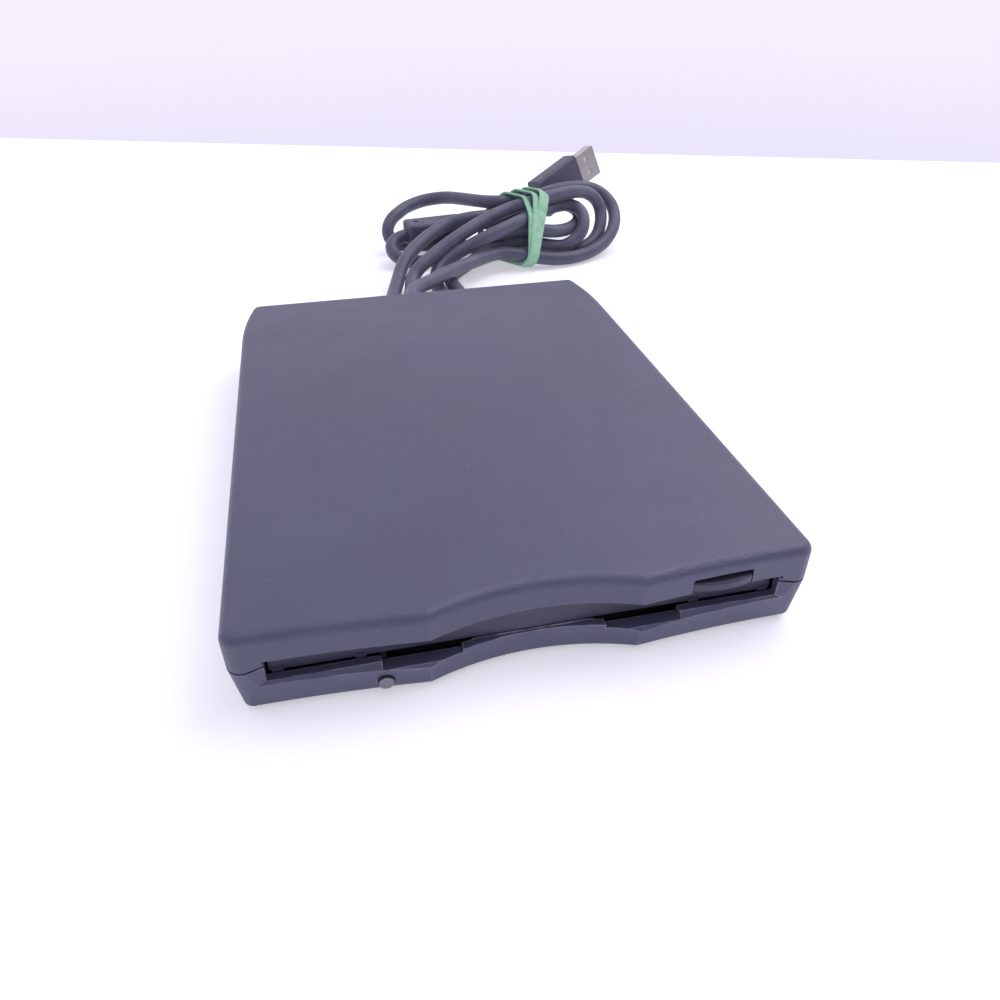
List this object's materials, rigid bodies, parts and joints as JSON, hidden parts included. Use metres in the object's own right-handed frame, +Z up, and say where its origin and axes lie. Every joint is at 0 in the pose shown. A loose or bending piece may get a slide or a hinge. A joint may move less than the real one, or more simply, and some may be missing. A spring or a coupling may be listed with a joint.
{
  "type": "external floppy disk drive",
  "caption": "Slim charcoal external floppy disk drive with a slot and dust door, eject button, light, opening mechanism inside and a bundled USB cord.",
  "frame": {"origin": "on the ground, under the middle of the case", "axes": "+X right seen from the front, +Y to the back where the cord leaves, +Z up"},
  "size_m": [0.1496, 0.2581, 0.0338],
  "materials": {
    "charcoal_plastic": "moulded, matte, fine grain",
    "black_rubber": "matte",
    "zinc_steel": "zinc-plated sheet",
    "bright_steel": "bright plated",
    "ground_steel": "ground",
    "screw_steel": "blackened",
    "spring_steel": "drawn wire",
    "clear_plastic": "translucent, smooth",
    "led_resin": "translucent",
    "green_board": "solder mask over glass laminate",
    "black_moulding": "moulded",
    "copper_winding": "enamelled copper",
    "bronze_bush": "sintered bronze",
    "ceramic_head": "polished ceramic",
    "white_plastic": "moulded",
    "arm_alloy": "pressed",
    "gold_contact": "gold plated",
    "ribbon_film": "flexible film",
    "cord_jacket": "satin black jacket",
    "band_rubber": "translucent pale green"
  },
  "bodies": {
    "housing": {"upper_case": "charcoal_plastic", "lower_case": "charcoal_plastic", "rubber_feet": "black_rubber", "case_screws": "screw_steel", "drive_screws": "screw_steel", "led_light_pipe": "clear_plastic", "activity_led": "led_resin", "sensor_board": "green_board", "disk_switches": "black_moulding", "drive_chassis": "zinc_steel", "drive_cover": "zinc_steel", "slider_springs": "spring_steel", "door_spring": "spring_steel", "motor_board": "green_board", "stator_coils": "copper_winding", "spindle_bush": "bronze_bush", "guide_rails": "ground_steel", "stepper_motor": "bright_steel", "stepper_bracket": "zinc_steel", "control_board": "green_board", "control_chips": "black_moulding", "usb_board": "green_board", "usb_chips": "black_moulding", "board_ribbon": "ribbon_film", "strain_relief": "black_rubber", "usb_cord": "cord_jacket", "cord_hank": "cord_jacket", "cord_band": "band_rubber", "cord_sleeve": "black_moulding", "usb_plug_body": "black_moulding", "usb_plug_shell": "bright_steel", "usb_plug_tongue": "white_plastic", "usb_plug_contacts": "gold_contact"},
    "door": {"slot_door": "charcoal_plastic"},
    "slider": {"slider_plate": "zinc_steel", "eject_button": "charcoal_plastic"},
    "carrier": {"disk_carrier": "zinc_steel", "carrier_pins": "ground_steel", "lever_spring": "spring_steel"},
    "lever": {"shutter_lever": "ground_steel"},
    "rotor": {"spindle_rotor": "bright_steel", "spindle_hub": "bright_steel", "spindle_shaft": "ground_steel", "drive_pin": "ground_steel"},
    "screw": {"lead_screw": "ground_steel"},
    "carriage": {"head_carriage": "black_moulding", "lower_head": "ceramic_head", "arm_pivot_pin": "ground_steel", "follower_pin": "ground_steel"},
    "head_arm": {"upper_head_arm": "arm_alloy", "upper_head": "ceramic_head"},
    "protect_switch": {"write_protect_plunger": "white_plastic"},
    "density_switch": {"density_plunger": "white_plastic"},
    "disk_switch": {"disk_in_plunger": "white_plastic"}
  },
  "joints": [
    {"name": "door_hinge", "type": "hinge", "parent": "housing", "child": "door", "pos_m": [0, -0.0663, 0.0127], "axis": [1, 0, 0], "range_deg": [0, 86], "stiffness_Nm_per_rad": 0.0001, "springref_deg": -45.84},
    {"name": "slider_slide", "type": "slide", "parent": "housing", "child": "slider", "axis": [0, -1, 0], "range_m": [0, 0.0045]},
    {"name": "carrier_drop", "type": "slide", "parent": "housing", "child": "carrier", "axis": [0, 0, -1], "range_m": [0, 0.002]},
    {"name": "lever_swing", "type": "hinge", "parent": "carrier", "child": "lever", "pos_m": [-0.036, 0.022, 0.0131], "axis": [0, 0, 1], "range_deg": [0, 48], "stiffness_Nm_per_rad": 0.0002, "springref_deg": -28.65},
    {"name": "spindle_spin", "type": "hinge", "parent": "housing", "child": "rotor", "pos_m": [0, -0.021, 0.006], "axis": [0, 0, 1], "continuous": true},
    {"name": "carriage_slide", "type": "slide", "parent": "housing", "child": "carriage", "axis": [0, -1, 0], "range_m": [0, 0.0148]},
    {"name": "screw_turn", "type": "hinge", "parent": "housing", "child": "screw", "pos_m": [0.0172, 0.04, 0.0091], "axis": [0, 1, 0], "range_deg": [0, 1421]},
    {"name": "head_lift", "type": "hinge", "parent": "carriage", "child": "head_arm", "pos_m": [0, 0.0465, 0.0112], "axis": [1, 0, 0], "range_deg": [0, 9]},
    {"name": "protect_press", "type": "slide", "parent": "housing", "child": "protect_switch", "axis": [0, 0, -1], "range_m": [0, 0.0012], "stiffness_N_per_m": 20, "springref_m": -0.002},
    {"name": "density_press", "type": "slide", "parent": "housing", "child": "density_switch", "axis": [0, 0, -1], "range_m": [0, 0.0012], "stiffness_N_per_m": 20, "springref_m": -0.002},
    {"name": "disk_press", "type": "slide", "parent": "housing", "child": "disk_switch", "axis": [0, 0, -1], "range_m": [0, 0.0012], "stiffness_N_per_m": 20, "springref_m": -0.002}
  ],
  "couplings": [
    {"joint": "carrier_drop", "follows": "slider_slide", "ratio": 0.4444},
    {"joint": "head_lift", "follows": "slider_slide", "rad_per_m": 34.9},
    {"joint": "screw_turn", "follows": "carriage_slide", "rad_per_m": 1675.5}
  ]
}
